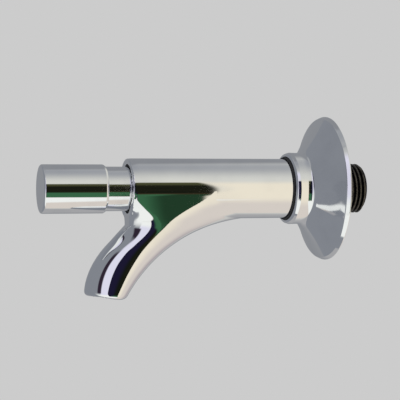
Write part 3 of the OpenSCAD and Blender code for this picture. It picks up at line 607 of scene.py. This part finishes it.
def castingPiece(c):
    low = (-13.52 - c["cell"] / 2, 8.0, -47.0)
    points, quads = wrapSkin(castingSkin, low, (13.9, 105.9, 13.2), c["cell"])
    grade = np.stack(slope(castingSkin, *points.T), 1)
    size = np.maximum((grade ** 2).sum(1), 0.1)
    for _ in range(4):   # bring every point onto the skin along its slope
        points = points - np.clip(castingSkin(*points.T) / size, -0.3, 0.3)[:, None] * grade
    grade = np.stack(slope(castingSkin, *points.T), 1)
    normals = grade / np.maximum(np.linalg.norm(grade, axis=1), 1e-9)[:, None]
    return addPiece("tapCasting", points, [quads], normals, "chrome_cast", "body", "tap_body")


castingPiece(casting)

# Head: the neck that carries the button, its turned thread in the body, the wall that guides the spindle
head = {"crest": 9.95, "root": 9.4, "pitch": 1.0, "from": 78.4, "ridges": 6}
ridge = ((head["root"], 0.0), (head["crest"], 0.35), (head["crest"], 0.5), (head["root"], 0.85))
head["thread"] = [(r, head["from"] + head["pitch"] * i + at, 0.06) for i in range(head["ridges"]) for r, at in ridge]
head["corners"] = [(8.05, 78.0, 0.1), (9.3, 78.0, 0.1)] + head["thread"] + [
    (9.1, 85.0, 0.2), (9.1, 110.0, 0.6), (7.2, 110.0, 0.2), (7.2, 90.0, 0.3), (3.55, 90.0, 0.1), (3.55, 88.0, 0.1),
    (2.56, 88.0, 0.1), (2.56, 83.5, 0.1), (8.05, 83.5, 0.1),
]
turnedPiece("headNeck", head["corners"], True, "chrome_turned", "body", "head_sleeve")

# Inlet nipple: a right-hand pipe thread, spanner hexagon, fine thread into the body, water bore
nipple = {
    "crest": 10.4775, "depth": 1.162, "pitch": 1.814, "tail": -16.1, "threadEnd": 2.2, "hexFrom": 4.5, "hexTo": 7.5,
    "hexFlats": 21.0, "joint": 9.5, "jointDepth": 0.6, "jointPitch": 1.0, "jointFrom": 9.3, "front": 18.5,
    "bore": 6.5, "pocket": 7.6, "pocketFrom": 12.5, "around": 168,
}


def nipplePiece(n):
    # radius over (out, angle): thread height is a rounded saw of out / pitch - angle / turn, so it climbs as a screw
    angle = np.linspace(0, 2 * math.pi, n["around"], endpoint=False)[None, :]

    def screw(out, crest, depth, pitch):
        saw = np.abs(2 * np.mod(out / pitch - angle / (2 * math.pi), 1) - 1)
        return crest - depth + depth * ease(0.14, 0.80, saw)

    tail = np.arange(n["tail"], n["hexFrom"], n["pitch"] / 16)[:, None]
    root = n["crest"] - n["depth"]
    fade = 1 - ease(n["threadEnd"] - 1, n["threadEnd"] + 1, tail)
    thread = root + (screw(tail, n["crest"], n["depth"], n["pitch"]) - root) * fade
    thread = np.minimum(thread, root - 0.4 + 1.3 * (tail - n["tail"]))
    flats = n["hexFlats"] / 2 / np.cos(np.mod(angle, math.pi / 3) - math.pi / 6)
    joint = np.arange(n["hexTo"] + 0.1, n["front"], n["jointPitch"] / 12)[:, None]
    jointRoot = n["joint"] - n["jointDepth"]
    grow = ease(n["jointFrom"], n["jointFrom"] + 0.8, joint)
    fine = jointRoot + (screw(joint, n["joint"], n["jointDepth"], n["jointPitch"]) - jointRoot) * grow
    fine = np.minimum(fine, jointRoot - 0.2 + 1.2 * (n["front"] - joint))
    rows = [(tail, thread)]
    for out, cut in ((n["hexFrom"], 0.7), (n["hexFrom"] + 0.35, 0.0), (n["hexTo"] - 0.35, 0.0), (n["hexTo"], 0.7)):
        rows.append((np.array([[out]]), np.minimum(flats, 12.2 - cut)))
    rows.append((np.array([[n["hexTo"]]]), np.full((1, n["around"]), jointRoot)))
    rows.append((joint, fine))
    for r, out in ((jointRoot - 0.2, n["front"]), (n["pocket"], n["front"]), (n["pocket"], n["pocketFrom"]),
                   (n["bore"], n["pocketFrom"]), (n["bore"], n["tail"])):
        rows.append((np.array([[out]]), np.full((1, n["around"]), r)))
    out = np.concatenate([np.broadcast_to(o, (len(o), n["around"])) for o, r in rows])
    reach = np.concatenate([np.broadcast_to(r, (len(o), n["around"])) for o, r in rows])
    points = np.stack([reach * np.cos(angle), out, reach * np.sin(angle)], -1)
    faces = gridFaces(len(out), n["around"], True, True)
    points = points.reshape(-1, 3)
    return addPiece("inletNipple", points, [faces[:, ::-1]], None, "brass_dark", "body", "inlet_nipple")


nipplePiece(nipple)

# Return spring: a round wire along a screw line
spring = {"from": 91.0, "to": 120.3, "wire": 1.3, "radius": 6.2, "turns": 8.5, "stroke": 7.5, "around": 12}


def springPiece(s):
    # centre line: radius, turn and rise; each ring of the wire stands square to the line
    t = np.linspace(0, 1, 340)[:, None]
    half = s["wire"] / 2
    turn = 2 * math.pi * s["turns"] * t
    rise = s["from"] + half + (s["to"] - s["from"] - s["wire"]) * t
    a = np.linspace(0, 2 * math.pi, s["around"], endpoint=False)[None, :]
    reach = s["radius"] + half * np.cos(a)
    points = np.stack([reach * np.cos(turn), rise + half * np.sin(a), reach * np.sin(turn)], -1)
    normals = np.stack([np.cos(a) * np.cos(turn), np.sin(a) + 0 * turn, np.cos(a) * np.sin(turn)], -1)
    faces = [gridFaces(len(t), s["around"], False, True)]
    ends = np.arange(s["around"])[None, :]
    faces += [ends, (len(t) - 1) * s["around"] + ends[:, ::-1]]
    points, normals = points.reshape(-1, 3), normals.reshape(-1, 3)
    piece = addPiece("returnSpring", points, faces, normals, "spring_steel", "body", "return_spring")
    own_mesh(piece)


springPiece(spring)

# Every other node keeps its own shape and takes the finish of its slot
slotOf = {part["node"]: part["material_slot"] for part in frame["record"]["subparts"]}
for name, node in nodes.items():
    slot = slotOf.get(name)
    if slot in finishes:
        node.data.materials.clear()
        node.data.materials.append(finishes[slot])
print("other nodes dressed:", sum(slot in finishes for slot in slotOf.values()))

# Plain pale floor below the tap, and one broad soft lamp
stageLook = {
    "floorAt": -0.60, "floorHalf": 3.0, "floor": (0.62, 0.62, 0.61),
    "lampAt": (0.6, -0.5, 1.1), "lampSize": 1.2, "lampPower": 9.0,
}


def makeStage(look):
    material, wire = newFinish("paleFloor")
    seen = wire.add("ShaderNodeLightPath", {}, {}, "Is Camera Ray")
    dull = wire.add("ShaderNodeBsdfDiffuse", {}, {"Color": rgba(look["floor"])})
    plain = wire.add("ShaderNodeEmission", {}, {"Color": rgba(room["camera"]), "Strength": 1.0})
    both = wire.add("ShaderNodeMixShader", {}, {0: seen, 1: dull, 2: plain})
    wire.add("ShaderNodeOutputMaterial", {}, {"Surface": both})
    spread = np.array([[-1, -1], [1, -1], [1, 1], [-1, 1]]) * look["floorHalf"]
    mesh = bpy.data.meshes.new("paleFloor")
    mesh.from_pydata(np.column_stack([spread, np.full(4, look["floorAt"])]).tolist(), [], [(0, 1, 2, 3)])
    mesh.materials.append(material)
    floor = bpy.data.objects.new("paleFloor", mesh)
    floor.visible_glossy = False
    bpy.context.scene.collection.objects.link(floor)
    data = bpy.data.lights.new("softLamp", "AREA")
    data.size, data.energy = look["lampSize"], look["lampPower"]
    lamp = bpy.data.objects.new("softLamp", data)
    lamp.location = look["lampAt"]
    away = np.array(look["lampAt"]) - np.array([0, -0.05, 0])
    lamp.rotation_euler = (math.atan2(math.hypot(away[0], away[1]), away[2]), 0, math.atan2(away[0], -away[1]))
    lamp.visible_glossy = False
    bpy.context.scene.collection.objects.link(lamp)


makeStage(stageLook)
print("floor and lamp placed")
